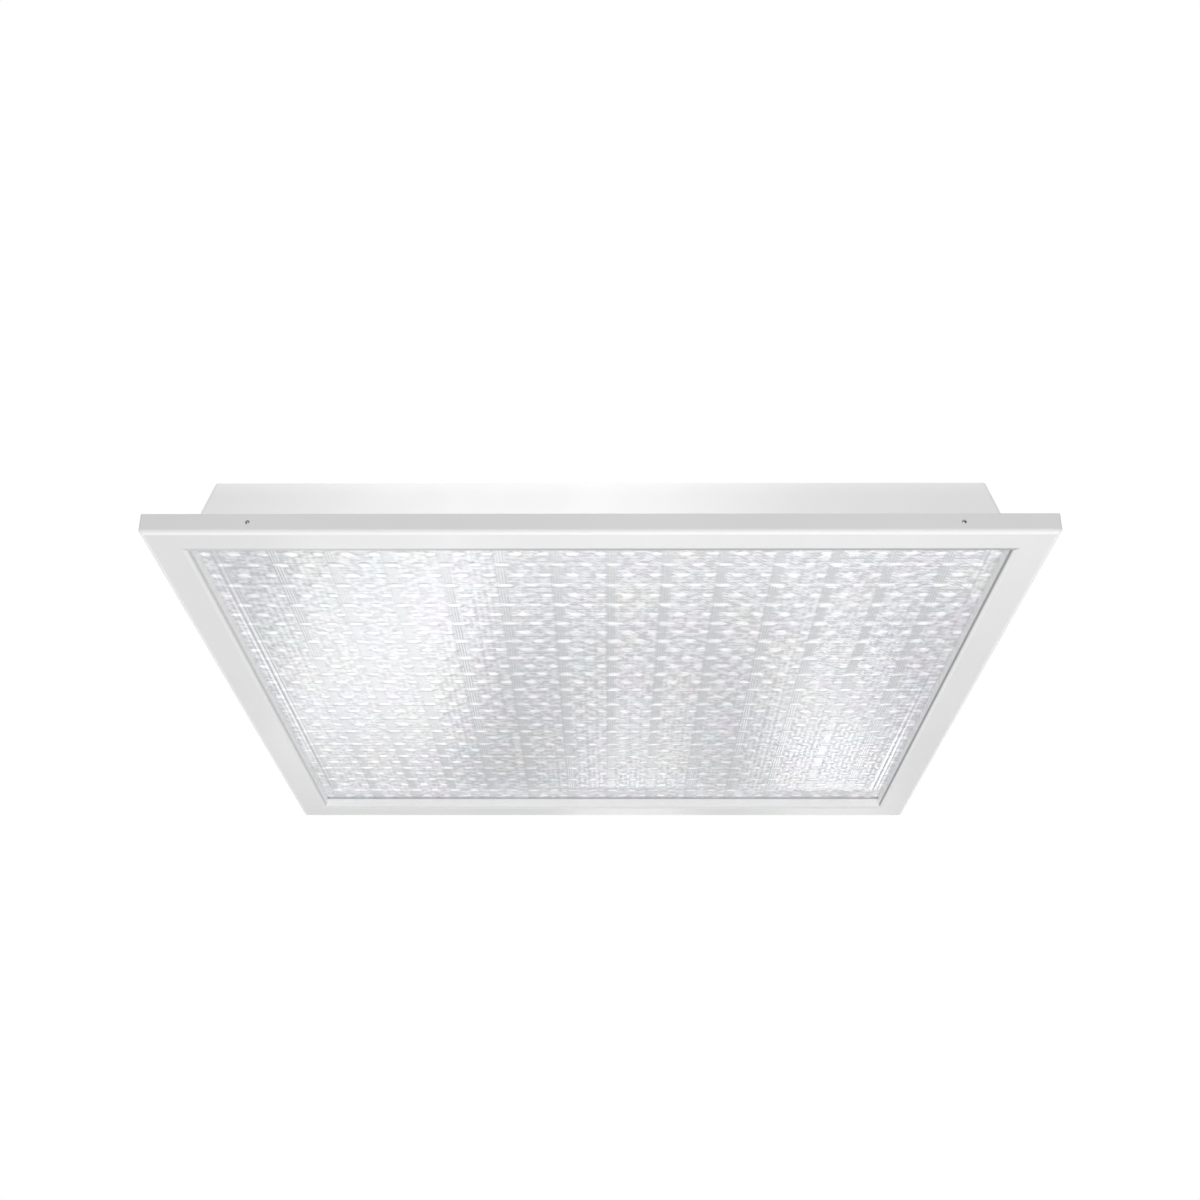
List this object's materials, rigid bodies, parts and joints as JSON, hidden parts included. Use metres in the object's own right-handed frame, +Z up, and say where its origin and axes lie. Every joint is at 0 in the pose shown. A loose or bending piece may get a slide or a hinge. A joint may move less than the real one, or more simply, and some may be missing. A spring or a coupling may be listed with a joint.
{
  "type": "recessed troffer light",
  "caption": "Square recessed ceiling light: tapered sheet tray with driver box, and a hinged frame that holds a prismatic lens on two sprung catches.",
  "frame": {"origin": "centre of the underside of the frame, at the ceiling line", "axes": "+Z up into the ceiling, -Y towards the side with the two catches, +Y towards the hinge"},
  "size_m": [0.595, 0.595, 0.092],
  "materials": {
    "housing_paint": "satin white stove paint",
    "frame_paint": "satin white stove paint",
    "reflector_paint": "matt white reflector paint",
    "foam": "closed-cell foam",
    "prismatic_acrylic": "moulded prismatic acrylic",
    "spring_steel": "bright spring steel",
    "zinc_steel": "bright zinc plate",
    "white_nylon": "moulded nylon",
    "galvanised_steel": "galvanised sheet",
    "driver_case": "moulded polycarbonate",
    "black_rubber": "moulded rubber",
    "brass": "bright",
    "aluminium": "bright",
    "board_white": "white solder mask on aluminium",
    "led_phosphor": "yellow phosphor gel"
  },
  "bodies": {
    "housing": {"tray": "housing_paint", "tray_gasket": "foam", "reflector": "reflector_paint", "led_board_1": "board_white", "led_board_2": "board_white", "led_board_3": "board_white", "led_board_4": "board_white", "led_board_5": "board_white", "led_board_6": "board_white", "led_board_7": "board_white", "led_row_1": "led_phosphor", "led_row_2": "led_phosphor", "led_row_3": "led_phosphor", "led_row_4": "led_phosphor", "led_row_5": "led_phosphor", "led_row_6": "led_phosphor", "led_row_7": "led_phosphor", "board_screws": "zinc_steel", "board_connectors": "white_nylon", "driver_box": "galvanised_steel", "driver_cover": "galvanised_steel", "cover_screws": "zinc_steel", "led_driver": "driver_case", "driver_screws": "zinc_steel", "terminal_block": "white_nylon", "cable_clamp": "white_nylon", "cable_bush": "black_rubber", "lead_bush": "black_rubber", "earth_stud": "brass", "hanger_brackets": "galvanised_steel", "bracket_rivets": "aluminium", "hinge_brackets": "zinc_steel", "hinge_pins": "zinc_steel", "catch_housings": "white_nylon", "catch_spring_left": "spring_steel", "catch_spring_right": "spring_steel"},
    "door": {"door_frame": "frame_paint", "lens": "prismatic_acrylic", "lens_clips": "spring_steel", "hinge_knuckles": "zinc_steel"},
    "catch_left": {"catch_pin_left": "zinc_steel"},
    "catch_right": {"catch_pin_right": "zinc_steel"}
  },
  "joints": [
    {"name": "door_hinge", "type": "hinge", "parent": "housing", "child": "door", "pos_m": [0, 0.2942, 0.0106], "axis": [1, 0, 0], "range_deg": [0, 90]},
    {"name": "catch_left_slide", "type": "slide", "parent": "housing", "child": "catch_left", "axis": [0, 1, 0], "range_m": [0, 0.003], "stiffness_N_per_m": 300, "springref_m": -0.002, "deforming": ["catch_spring_left"]},
    {"name": "catch_right_slide", "type": "slide", "parent": "housing", "child": "catch_right", "axis": [0, 1, 0], "range_m": [0, 0.003], "stiffness_N_per_m": 300, "springref_m": -0.002, "deforming": ["catch_spring_right"]}
  ]
}
